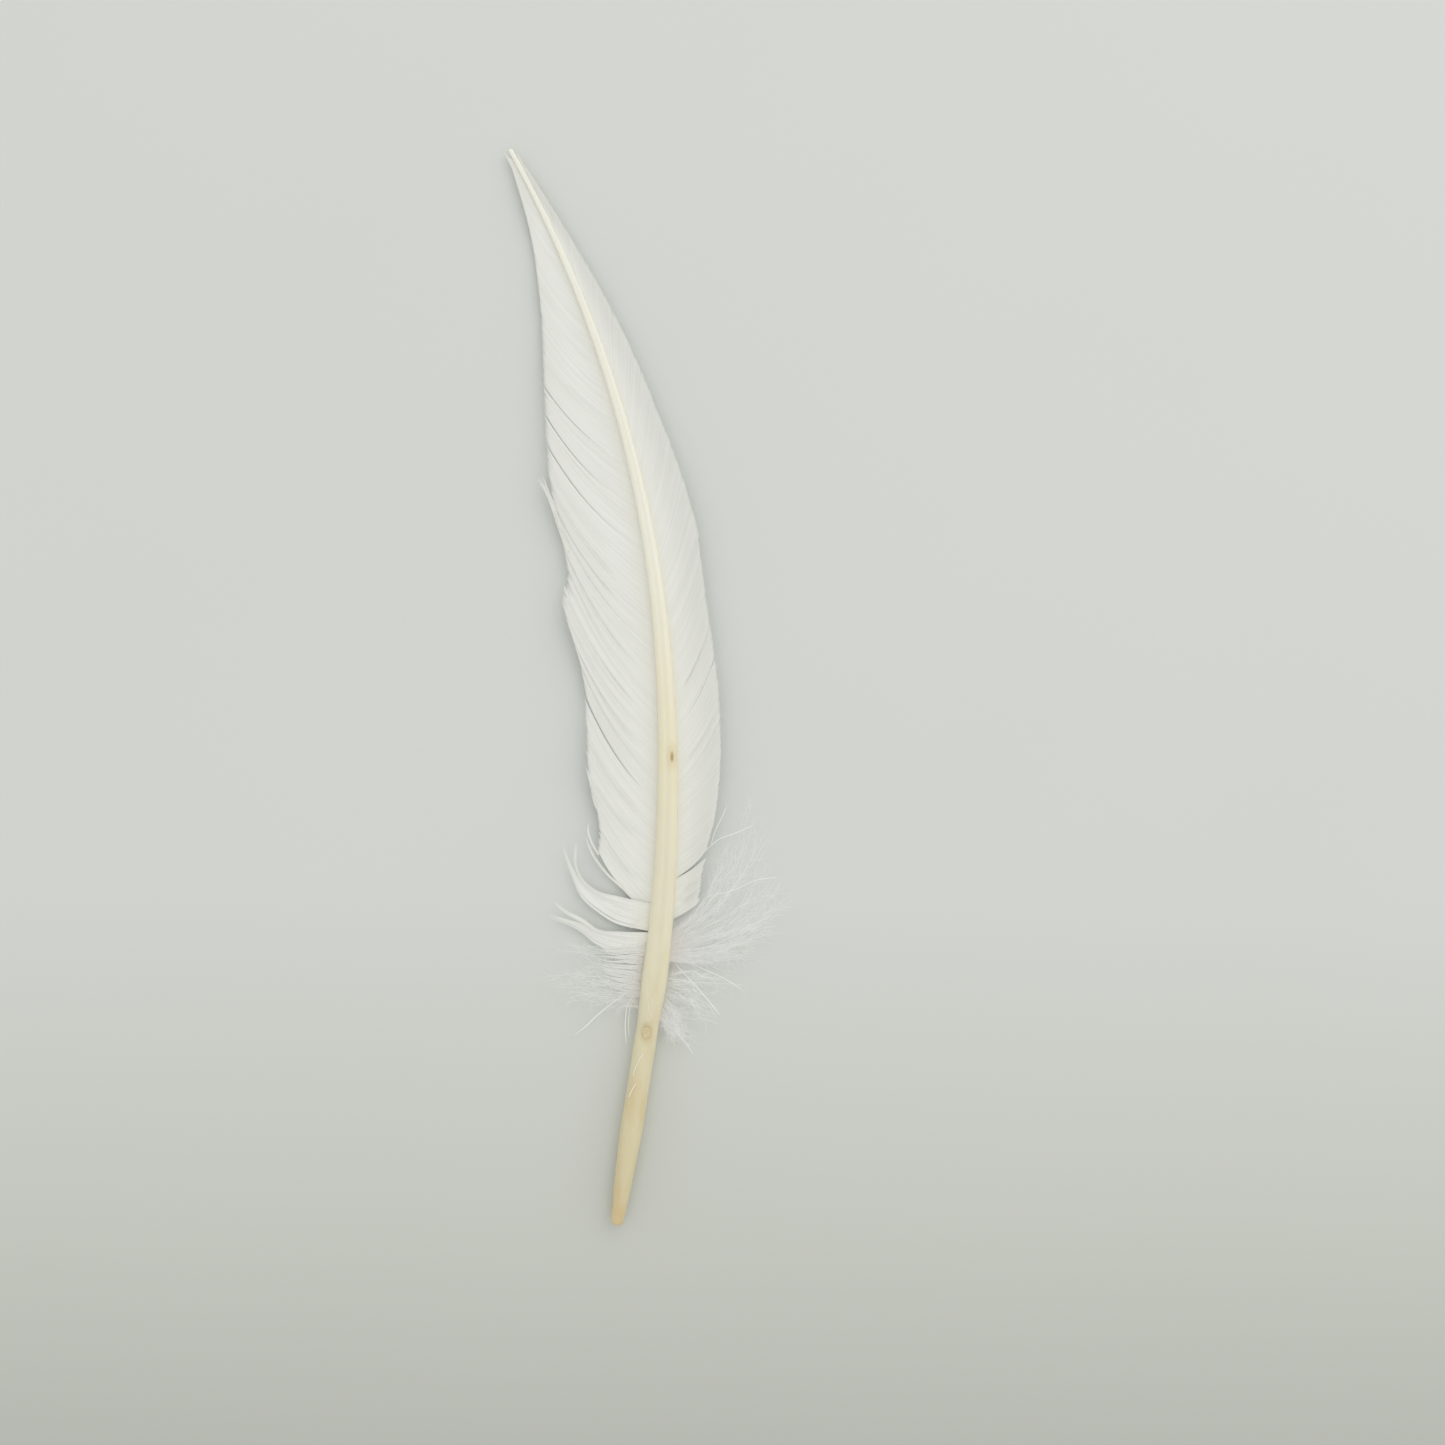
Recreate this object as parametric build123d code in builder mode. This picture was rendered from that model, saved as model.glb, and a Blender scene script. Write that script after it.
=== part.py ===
"""A goose feather for a quill pen, uncut, lying with its grooved underside up.

+Y runs along the shaft from the barrel to the feather's tip, +X points to the narrow leading vane and +Z
is up. The origin lies under the middle of the feather, on the surface that it rests on. Millimetres.
"""

import os
from math import atan, cos

from build123d import *

# Driving dimensions.

# Shaft, seen from above: a straight barrel, then a rachis that bows out and sweeps back to the tip.
barrel_length = 48.8  # along the barrel's own axis
rachis_length = 208.8  # along Y, from the barrel to the feather's tip
bow_height = 58.0  # along Y, from the barrel to the shaft's outermost point
bow_depth = 4.7  # how far the barrel's upper end stands back from that point
sweep_depth = 37.6  # how far the tip stands back from that point
sweep_power = 2.2  # above 2, the curve tightens towards the tip
bow_offset = 3.32  # the outermost point's own place in X

# Barrel, or calamus: a hollow horn tube.
grip_radius = 2.5  # the parallel stretch that is held
grip_length = 20.0
grip_start = 22.0  # from the lower end
neck_radius = 2.65  # where the rachis begins
end_radius = 1.2
end_fillet = 0.5
end_power = 1.3  # 1 is a straight cone down to the end
barrel_wall = 0.45
barrel_axis_height = 2.8
lower_hole_radius = 0.5
upper_hole_length = 2.8
upper_hole_width = 2.0
upper_hole_drop = 2.0  # from the rachis to the hole's middle

# Dried pulp caps, stacked inside the barrel.
cap_count = 9
cap_pitch = 4.2
cap_first = 5.0  # from the lower end
cap_wall = 0.12
cap_height = 1.6
cap_clearance = 0.06

# Plugs of dried pulp that close the barrel's two openings.
plug_clearance = 0.04
lower_plug_length = 1.6
upper_plug_recess = 0.06

# Rachis: a horn skin round a pith core.
rachis_width = 6.5
rachis_tip_width = 1.2
taper_power = 1.2
flare_share = 0.05  # share of the rachis by which it has flared from the neck to its full width
depth_share = 0.8  # depth over width
corner_share = 0.36  # corner radius over depth
cortex_wall = 0.4
pith_clearance = 0.03
tip_lift = 1.2  # height of the shaft's back above the surface at the feather's tip

# Vanes. Each row is a station: share of the rachis, then how far the wide and the narrow vane reach.
reaches = [
    (0.08, 16.5, 8.0),
    (0.17, 17.2, 9.0),
    (0.265, 17.6, 11.9),
    (0.385, 18.8, 12.4),
    (0.49, 21.4, 11.4),
    (0.60, 20.6, 10.9),
    (0.72, 16.4, 8.5),
    (0.83, 9.6, 5.8),
    (0.912, 4.9, 3.2),
    (0.985, 1.7, 1.3),
]
pith_stations = 8  # the pith ends at this station of the vanes
vane_root_thickness = 0.35
vane_edge_thickness = 0.22
seat_depth = 0.22  # groove in the rachis's flank that holds the barb roots
seat_clearance = 0.08
seat_height_share = 0.3  # of the rachis's depth
wide_sag, wide_lift = -0.02, 0.13  # height of the vane's middle and edge over its root, over its reach
narrow_sag, narrow_lift = 0.03, 0.22

# Splits where neighbouring barbs have let go, from the lower end up: share of the rachis at the root,
# rise along Y to the vane's edge, and the gap there.
wide_splits = [
    (0.123, 17.0, 0.5),
    (0.165, 18.0, 0.6),
    (0.250, 26.0, 0.9),
    (0.358, 34.0, 0.6),
    (0.425, 30.0, 0.8),
    (0.540, 26.0, 0.5),
    (0.587, 23.0, 0.4),
    (0.640, 18.0, 0.4),
]
narrow_splits = [
    (0.118, 4.0, 0.8),
    (0.166, 6.0, 1.2),
    (0.190, 7.0, 0.5),
    (0.272, 16.0, 0.6),
    (0.336, 18.0, 1.4),
    (0.405, 18.0, 0.5),
    (0.468, 19.0, 0.5),
]
split_root_gap = 0.12
overrun = 1.25  # a split runs past the vane's edge by a quarter of its reach
barb_turn_out = 0.6  # where a barb bends over towards the tip, as a share of its reach
barb_turn_up = 0.36  # and as a share of its rise
cut_height = 20.0  # more than the vanes rise

# Loose locks of barbs below the wide vane: share of the rachis at the root, root width, reach out from
# the flank, rise along Y, tip width, and the tip's height.
locks = {
    "inner_lock_upper": (0.114, 4.6, 17.0, 18.6, 1.2, 3.4),
    "inner_lock_lower": (0.086, 4.2, 20.0, 9.0, 1.0, 2.6),
}
lock_thickness = 0.35
lock_turn_out = 0.6  # where a lock bends over, as a share of its reach
lock_turn_up = 0.25  # and as a share of its rise
lock_stations = (0, 0.35, 0.7, 1)  # shares of a lock's length, root to tip
lock_set_out = 0.25  # of the root's width, so that its slanting root end clears the flank
flank_gap = 0.1  # between a loose piece's root and the rachis

# Down at the base, as soft puffs that rest on the surface: side of the shaft, height, and an outline of
# (out from the flank, share of the rachis) round from its upper root.
puffs = {
    "inner_basal_web": ("wide", 2.4, [(0, 0.072), (7, 0.080), (12, 0.066), (11, 0.036), (0, 0.028)]),
    "inner_down": ("wide", 3.2, [(0, 0.026), (12, 0.034), (13.5, 0.072), (21, 0.090), (28, 0.052),
                                 (20, 0.016), (9, 0.004), (0, 0.008)]),
    "outer_down_upper": ("narrow", 4.4, [(0, 0.104), (10, 0.106), (13.6, 0.17), (15.0, 0.26), (19, 0.275),
                                         (27, 0.18), (30, 0.12), (22, 0.075), (0, 0.068)]),
    "outer_down_lower": ("narrow", 3.8, [(0, 0.064), (12, 0.062), (20.5, 0.018), (14, -0.012),
                                         (9, -0.032), (4, -0.016), (0, 0.012), (0, 0.036)]),
}
puff_corner = 1.2

# Afterfeather: a small tuft that lies on the rachis, just above the barrel's upper opening.
tuft_length = 8.0
tuft_width = 3.0
tuft_height = 0.7
tuft_start = 1.0  # from the barrel

# Worked out from them.

barrel_slope = 2 * bow_depth / bow_height  # so that the barrel runs on from the bow in line
barrel_rise = barrel_length * cos(atan(barrel_slope))
half_length = (barrel_rise + rachis_length) / 2
barrel_top_y = barrel_rise - half_length
bow_y = barrel_top_y + bow_height
side_sign = {"wide": -1, "narrow": 1}
vane_shares = [row[0] for row in reaches]
shaft_shares = [0, 0.4 * flare_share, flare_share, *vane_shares, 1]
pith_shares = shaft_shares[: 3 + pith_stations]


def station(share):
    """Y at a share of the rachis's length, 0 at the barrel and 1 at the feather's tip."""
    return barrel_top_y + share * rachis_length


def share_at(y):
    return (y - barrel_top_y) / rachis_length


def shaft_x(y):
    """The shaft's middle, seen from above."""
    if y < bow_y:
        return bow_offset - bow_depth * ((bow_y - y) / bow_height) ** 2
    return bow_offset - sweep_depth * ((y - bow_y) / (half_length - bow_y)) ** sweep_power


def shaft_base(y):
    """Height of the shaft's back above the surface."""
    return tip_lift * (max(y, 0) / half_length) ** 2


def flare(y):
    """0 at the barrel and 1 where the rachis has its full width, smooth between them."""
    part = min(max(share_at(y) / flare_share, 0), 1)
    return part * part * (3 - 2 * part)


def shaft_width(y):
    left = 1 - min(max(share_at(y), 0), 1)
    taper = rachis_tip_width + (rachis_width - rachis_tip_width) * left**taper_power
    return 2 * neck_radius + (taper - 2 * neck_radius) * flare(y)


def shaft_depth(y):
    return shaft_width(y) * (1 - (1 - depth_share) * flare(y))


def seat_height(y):
    return seat_height_share * shaft_depth(y)


def reach(side, y):
    """How far a vane reaches from the shaft's middle, straight from one station to the next."""
    column = 1 if side == "wide" else 2
    share = max(share_at(y), reaches[0][0])
    for low, high in zip(reaches, reaches[1:]):
        if share <= high[0]:
            part = (share - low[0]) / (high[0] - low[0])
            return low[column] + part * (high[column] - low[column])
    return reaches[-1][column]


def beside(side, y, out):
    """The point in plan at that distance out from the shaft's flank."""
    return (shaft_x(y) + side_sign[side] * (shaft_width(y) / 2 + out), y)


def cross_plane(y):
    """The plane across the shaft, its X to the narrow vane and its Y up, on the shaft's back."""
    return Plane(origin=(shaft_x(y), y, shaft_base(y)), x_dir=(1, 0, 0), z_dir=(0, -1, 0))


# The barrel's own frame starts at its lower end: Y runs up its axis and X is radial.
barrel_top = Vector(shaft_x(barrel_top_y), barrel_top_y, barrel_axis_height)
barrel_up = Vector(barrel_slope, 1, 0).normalized()
barrel_end = barrel_top - barrel_up * barrel_length
barrel_frame = Plane(origin=barrel_end, x_dir=barrel_up.cross(Vector(0, 0, 1)), z_dir=(0, 0, 1))
barrel_axis = Axis(barrel_end, barrel_up)
trim_plane = Plane(origin=barrel_top, x_dir=(1, 0, 0), z_dir=(0, 1, 0))
trim_allowance = 2.0  # the barrel is made this much too long, then cut square to Y


def end_curve_radius(height):
    """Outer radius of the barrel's rounded lower stretch at a height above its end."""
    left = 1 - min(height / grip_start, 1)
    return end_radius + (grip_radius - end_radius) * (1 - left**end_power)


def barrel_profile(inset):
    """Half of the barrel's lengthwise section, that far in from its outside."""
    low = (end_curve_radius(0) - inset, inset)
    middle = (end_curve_radius(grip_start / 2) - inset, grip_start / 2)
    top = barrel_length + trim_allowance
    with BuildSketch(barrel_frame) as profile:
        with BuildLine():
            Spline(low, middle, (grip_radius - inset, grip_start))
            Line((grip_radius - inset, grip_start), (grip_radius - inset, grip_start + grip_length))
            Polyline(
                (grip_radius - inset, grip_start + grip_length),
                (neck_radius - inset, barrel_length),
                (neck_radius - inset, top),
                (0, top),
                (0, inset),
                low,
            )
        make_face()
    return profile.sketch


def upper_hole(clearance):
    """The outline of the barrel's upper opening, on the barrel's axis."""
    place = Plane(origin=barrel_top - barrel_up * upper_hole_drop, x_dir=barrel_up, z_dir=(0, 0, 1))
    with BuildSketch(place) as hole:
        Ellipse(upper_hole_length / 2 - clearance, upper_hole_width / 2 - clearance)
    return hole.sketch


def rachis_section(y, inset):
    """The rachis's section at a station, that far in from its outside."""
    width = shaft_width(y) - 2 * inset
    depth = shaft_depth(y) - 2 * inset
    with BuildSketch(cross_plane(y)) as section:
        with Locations((0, shaft_depth(y) / 2)):
            RectangleRounded(width, depth, corner_share * depth)
    return section.sketch


def seat_section(side, y):
    """The section of the groove that the barb roots sit in."""
    height = vane_root_thickness + 2 * seat_clearance
    with BuildSketch(cross_plane(y)) as section:
        with Locations((side_sign[side] * shaft_width(y) / 2, seat_height(y))):
            Rectangle(2 * seat_depth, height)
    return section.sketch


def vane_section(side, y):
    """The section of a vane: a thin strip that curves up to its edge."""
    sign = side_sign[side]
    sag, lift = (wide_sag, wide_lift) if side == "wide" else (narrow_sag, narrow_lift)
    inner = shaft_width(y) / 2 - seat_depth + seat_clearance
    outer = reach(side, y)
    middle = (inner + outer) / 2
    half_root = vane_root_thickness / 2
    half_edge = vane_edge_thickness / 2
    half_middle = (half_root + half_edge) / 2
    root_z = seat_height(y)
    middle_z = root_z + sag * outer
    edge_z = root_z + lift * outer
    root_low, root_high = (sign * inner, root_z - half_root), (sign * inner, root_z + half_root)
    edge_low, edge_high = (sign * outer, edge_z - half_edge), (sign * outer, edge_z + half_edge)
    with BuildSketch(cross_plane(y)) as section:
        with BuildLine():
            ThreePointArc(root_low, (sign * middle, middle_z - half_middle), edge_low)
            Line(edge_low, edge_high)
            ThreePointArc(edge_high, (sign * middle, middle_z + half_middle), root_high)
            Line(root_high, root_low)
        make_face()
    return section.sketch


def split_outline(side, root_share, rise, gap):
    """The plan of one split: a sliver along a barb, from the shaft's middle past the vane's edge."""
    root_y = station(root_share)
    root_x = shaft_x(root_y)
    across = shaft_x(root_y + rise) + side_sign[side] * reach(side, root_y + rise) - root_x
    turn = (root_x + barb_turn_out * across, root_y + barb_turn_up * rise)
    end = (root_x + overrun * across, root_y + overrun * rise)
    turn_gap = (split_root_gap + gap) / 2
    with BuildSketch() as outline:
        with BuildLine():
            low = Bezier((root_x, root_y), turn, end)
            high = Bezier(
                (root_x, root_y + split_root_gap),
                (turn[0], turn[1] + turn_gap),
                (end[0], end[1] + gap),
            )
            Line(low @ 0, high @ 0)
            Line(low @ 1, high @ 1)
        make_face()
    return outline.sketch


def finish(piece, name):
    piece.part.label = name
    export_step(piece.part, f"parts/{name}.step")


os.makedirs("parts", exist_ok=True)

# Barrel.

with BuildPart() as barrel:
    revolve(barrel_profile(0), axis=barrel_axis)
    fillet(barrel.edges().filter_by(GeomType.CIRCLE).sort_by(Axis.Y)[0], end_fillet)
    revolve(barrel_profile(barrel_wall), axis=barrel_axis, mode=Mode.SUBTRACT)
    with BuildSketch(Plane(origin=barrel_end, z_dir=barrel_up)):
        Circle(lower_hole_radius)
    extrude(amount=lower_plug_length, mode=Mode.SUBTRACT)
    extrude(upper_hole(0), amount=2 * neck_radius, mode=Mode.SUBTRACT)
    split(bisect_by=trim_plane, keep=Keep.BOTTOM)
finish(barrel, "barrel")

with BuildPart() as pulp_caps:
    for index in range(cap_count):
        height = cap_first + index * cap_pitch
        cap_radius = end_curve_radius(height) - barrel_wall - cap_clearance
        cap_plane = Plane(origin=barrel_end + barrel_up * height, z_dir=barrel_up)
        with BuildSketch(cap_plane):
            Circle(cap_radius)
        extrude(amount=cap_height)
        with BuildSketch(cap_plane):
            Circle(cap_radius - cap_wall)
        extrude(amount=cap_height - cap_wall, mode=Mode.SUBTRACT)
finish(pulp_caps, "pulp_caps")

with BuildPart() as lower_umbilicus_plug:
    with BuildSketch(Plane(origin=barrel_end, z_dir=barrel_up)):
        Circle(lower_hole_radius - plug_clearance)
    extrude(amount=lower_plug_length)
finish(lower_umbilicus_plug, "lower_umbilicus_plug")

with BuildPart() as upper_umbilicus_plug:
    revolve(barrel_profile(upper_plug_recess), axis=barrel_axis)
    extrude(upper_hole(plug_clearance), amount=2 * neck_radius, mode=Mode.INTERSECT)
    revolve(barrel_profile(barrel_wall), axis=barrel_axis, mode=Mode.SUBTRACT)
finish(upper_umbilicus_plug, "upper_umbilicus_plug")

# Rachis.

with BuildPart() as rachis_cortex:
    loft([rachis_section(station(share), 0) for share in shaft_shares], ruled=True)
    hollow = [rachis_section(station(share), cortex_wall) for share in pith_shares]
    loft(hollow, ruled=True, mode=Mode.SUBTRACT)
    for side in side_sign:
        seat = [seat_section(side, station(share)) for share in vane_shares]
        loft(seat, ruled=True, mode=Mode.SUBTRACT)
finish(rachis_cortex, "rachis_cortex")

with BuildPart() as rachis_pith:
    core = [rachis_section(station(share), cortex_wall + pith_clearance) for share in pith_shares]
    loft(core, ruled=True)
finish(rachis_pith, "rachis_pith")

# Vanes.

with BuildPart() as wide_vane:
    loft([vane_section("wide", station(share)) for share in vane_shares], ruled=True)
    for row in wide_splits:
        extrude(split_outline("wide", *row), amount=cut_height, both=True, mode=Mode.SUBTRACT)

with BuildPart() as narrow_vane:
    loft([vane_section("narrow", station(share)) for share in vane_shares], ruled=True)
    for row in narrow_splits:
        extrude(split_outline("narrow", *row), amount=cut_height, both=True, mode=Mode.SUBTRACT)

# The scrap below the first split is left out, and each web above it is a piece of its own.
for vane, label in ((wide_vane, "inner_web"), (narrow_vane, "outer_web")):
    for number, web in enumerate(vane.solids().sort_by(Axis.Y)[1:], start=1):
        with BuildPart() as web_piece:
            add(web)
        finish(web_piece, f"{label}_{number}")

# Loose locks.

for name, (root_share, root_width, out, rise, tip_width, tip_height) in locks.items():
    root_y = station(root_share)
    root = Vector(*beside("wide", root_y, flank_gap + lock_set_out * root_width), seat_height(root_y))
    turn = root + Vector(-lock_turn_out * out, lock_turn_up * rise, 0)
    tip = root + Vector(-out, rise, tip_height - root.Z)
    with BuildLine(mode=Mode.PRIVATE) as lock_path:
        Bezier(root, turn, tip)
    with BuildPart() as lock:
        for part in lock_stations:
            along = lock_path.line % part
            across = along.cross(Vector(0, 0, 1))
            with BuildSketch(Plane(origin=lock_path.line @ part, x_dir=across, z_dir=along)):
                Rectangle(root_width + (tip_width - root_width) * part, lock_thickness)
        loft()
    finish(lock, name)

# Down.

for name, (side, height, outline) in puffs.items():
    corners = []
    for out, share in outline:
        corners.append(beside(side, station(share), out + flank_gap))
    with BuildPart() as puff:
        with BuildSketch() as puff_plan:
            with BuildLine():
                Polyline(*corners, close=True)
            make_face()
            fillet(puff_plan.vertices(), puff_corner)
        extrude(amount=height)
    finish(puff, name)

with BuildPart() as afterfeather:
    tuft_y = barrel_top_y + tuft_start + tuft_length / 2
    tuft_z = shaft_base(tuft_y) + shaft_depth(tuft_y) + flank_gap
    with BuildSketch(Plane(origin=(shaft_x(tuft_y), tuft_y, tuft_z))):
        Ellipse(tuft_width / 2, tuft_length / 2)
    extrude(amount=tuft_height)
finish(afterfeather, "afterfeather")
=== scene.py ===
import math

import bpy
import numpy as np
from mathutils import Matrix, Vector


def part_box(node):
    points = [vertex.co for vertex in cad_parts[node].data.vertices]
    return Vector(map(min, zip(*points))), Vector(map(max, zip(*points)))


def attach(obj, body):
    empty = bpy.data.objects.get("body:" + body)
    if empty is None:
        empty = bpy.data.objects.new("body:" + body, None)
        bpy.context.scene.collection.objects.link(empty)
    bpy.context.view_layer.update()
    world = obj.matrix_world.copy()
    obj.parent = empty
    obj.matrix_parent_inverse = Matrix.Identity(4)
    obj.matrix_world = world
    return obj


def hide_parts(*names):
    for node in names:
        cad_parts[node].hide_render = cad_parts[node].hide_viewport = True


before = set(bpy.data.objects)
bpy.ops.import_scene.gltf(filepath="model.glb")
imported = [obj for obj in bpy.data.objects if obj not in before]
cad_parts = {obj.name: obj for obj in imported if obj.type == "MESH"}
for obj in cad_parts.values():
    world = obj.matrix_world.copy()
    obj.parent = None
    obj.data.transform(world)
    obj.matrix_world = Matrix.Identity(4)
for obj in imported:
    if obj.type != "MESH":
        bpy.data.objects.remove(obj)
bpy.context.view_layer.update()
mm = 0.001


# colours, nodes and small helpers
def toLinear(hexColour):
    # an sRGB hex colour as the linear RGBA that the shaders take
    channels = [int(hexColour[i:i + 2], 16) / 255 for i in (1, 3, 5)]
    return [c / 12.92 if c <= 0.04045 else ((c + 0.055) / 1.055) ** 2.4 for c in channels] + [1.0]


def addNode(tree, kind, inputs=None, **settings):
    node = tree.nodes.new(kind)
    for name, value in settings.items():
        setattr(node, name, value)
    for key, value in (inputs or {}).items():
        if isinstance(value, bpy.types.NodeSocket):
            tree.links.new(value, node.inputs[key])
        else:
            node.inputs[key].default_value = value
    return node


def calc(tree, operation, a, b=0.0, clamp=False):
    return addNode(tree, "ShaderNodeMath", {0: a, 1: b}, operation=operation, use_clamp=clamp).outputs[0]


def vectorCalc(tree, operation, a, b=(0.0, 0.0, 0.0), scale=1.0):
    node = addNode(tree, "ShaderNodeVectorMath", {0: a, 1: b, 3: scale}, operation=operation)
    return node.outputs["Vector"]


def combine(tree, x=0.0, y=0.0, z=0.0):
    return addNode(tree, "ShaderNodeCombineXYZ", {0: x, 1: y, 2: z}).outputs[0]


def separate(tree, vector):
    return addNode(tree, "ShaderNodeSeparateXYZ", {0: vector}).outputs


def mapRange(tree, value, fromMin, fromMax, toMin=0.0, toMax=1.0, **settings):
    return addNode(tree, "ShaderNodeMapRange", {
        "Value": value, "From Min": fromMin, "From Max": fromMax, "To Min": toMin, "To Max": toMax},
        **settings).outputs[0]


def noiseAt(tree, vector, scale, detail, output="Fac"):
    return addNode(tree, "ShaderNodeTexNoise", {
        "Vector": vector, "Scale": scale, "Detail": detail}).outputs[output]


def objectPlace(tree):
    return addNode(tree, "ShaderNodeTexCoord").outputs["Object"]


def ease(x):
    x = np.clip(x, 0.0, 1.0)
    return x * x * (3 - 2 * x)


def makeObject(name, mesh):
    piece = bpy.data.objects.new(name, mesh)
    bpy.context.scene.collection.objects.link(piece)
    return piece


def place(piece, slotName, *nodes):
    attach(piece, "root")
    if nodes:
        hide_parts(*nodes)
    return piece


# what the frame says about the shaft and the vanes
def nodePoints(name):
    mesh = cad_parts[name].data
    flat = np.empty(len(mesh.vertices) * 3, np.float32)
    mesh.vertices.foreach_get("co", flat)
    return flat.reshape(-1, 3).astype(float)


def smoothThrough(knots, values):
    # a smooth curve through the stations, as a function of Y
    knots, values = np.asarray(knots, float), np.asarray(values, float)
    slopes = np.gradient(values, knots)

    def at(y):
        y = np.clip(y, knots[0], knots[-1])
        i = np.clip(np.searchsorted(knots, y) - 1, 0, len(knots) - 2)
        gap = knots[i + 1] - knots[i]
        t = (y - knots[i]) / gap
        return ((1 + 2 * t) * (1 - t) ** 2 * values[i] + t * t * (3 - 2 * t) * values[i + 1]
                + gap * t * (1 - t) * ((1 - t) * slopes[i] - t * slopes[i + 1]))
    return at


def readShaft():
    points = nodePoints("rachis_cortex")
    ys = np.round(points[:, 1], 5)
    rows = []
    for y in np.unique(ys):
        ring = points[ys == y]
        if len(ring) >= 24 and (not rows or y - rows[-1][0] > 1.5 * mm):
            rows.append((y, *ring[:, [0, 2]].min(0), *ring[:, [0, 2]].max(0)))
    return np.array(rows)


shaftRows = readShaft()
junctionY, tipY = shaftRows[0, 0], shaftRows[-1, 0]
rachisLength = tipY - junctionY
shaftX = smoothThrough(shaftRows[:, 0], (shaftRows[:, 1] + shaftRows[:, 3]) / 2)
shaftHalf = smoothThrough(shaftRows[:, 0], (shaftRows[:, 3] - shaftRows[:, 1]) / 2)
shaftLow = smoothThrough(shaftRows[:, 0], shaftRows[:, 2])
shaftHigh = smoothThrough(shaftRows[:, 0], shaftRows[:, 4])


def station(share):
    return junctionY + share * rachisLength


def readVane(prefix, count, side):
    # reach, and the height of the middle surface as a parabola, at each station that the webs cross
    points = np.vstack([nodePoints(f"{prefix}_{n + 1}") for n in range(count)])
    rows = []
    for y in shaftRows[:, 0]:
        strip = points[np.abs(points[:, 1] - y) < 0.02 * mm]
        out = (strip[:, 0] - shaftX(y)) * side
        if len(strip) < 8 or out.max() < 1.2 * mm:
            continue
        if np.ptp(out) < 0.6 * (out.max() - shaftHalf(y)):
            continue
        rows.append((y, out.max(), *np.polyfit(out, strip[:, 2] - shaftLow(y), 2)))
    rows = np.array(rows)
    return [smoothThrough(rows[:, 0], rows[:, column]) for column in range(1, 5)]


vaneShape = {-1: readVane("inner_web", 8, -1), 1: readVane("outer_web", 7, 1)}
print("frame read:", len(shaftRows), "shaft stations, tip at", round(tipY / mm, 1), "mm")


# materials
def newMaterial(name):
    material = bpy.data.materials.new(name)
    material.use_nodes = True
    tree = material.node_tree
    tree.nodes.clear()
    return material, tree


def ramp(tree, factor, stops):
    node = addNode(tree, "ShaderNodeValToRGB", {"Fac": factor})
    while len(node.color_ramp.elements) < len(stops):
        node.color_ramp.elements.new(0.5)
    for element, (position, colour) in zip(node.color_ramp.elements, stops):
        element.position = position
        element.color = toLinear(colour)
    return node.outputs["Color"]


def mixColour(tree, factor, a, b, blend="MIX"):
    node = addNode(tree, "ShaderNodeMix", {0: factor}, data_type="RGBA", blend_type=blend)
    for key, value in ((6, a), (7, b)):
        if isinstance(value, bpy.types.NodeSocket):
            tree.links.new(value, node.inputs[key])
        else:
            node.inputs[key].default_value = value
    return node.outputs[2]


hornLook = {
    "stops": [  # colour by place along the shaft, from the barrel's end to the feather's tip
        (0.000, "#DFCFA8"), (0.030, "#DFD3AE"), (0.10, "#E4DAB6"), (0.19, "#E8E1C4"), (0.27, "#EEE8D0"),
        (0.36, "#F1EBD4"), (0.43, "#F3EDD2"), (0.50, "#F6F0DA"), (0.62, "#FAF7EA"), (1.0, "#FAF8EE"),
    ],
    "amber": "#D6B878",
    "amberStrength": [  # white is full strength, by place along the shaft
        (0.0, "#BBBBBB"), (0.16, "#8C8C8C"), (0.24, "#6E6E6E"), (0.33, "#565656"), (0.46, "#505050"),
        (0.56, "#1E1E1E"), (0.7, "#000000"),
    ],
    "mark": "#8F6A34",
    "fibre": 0.16,  # mm, width of the fine lengthwise fibres
    "roughness": 0.34,
}


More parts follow.
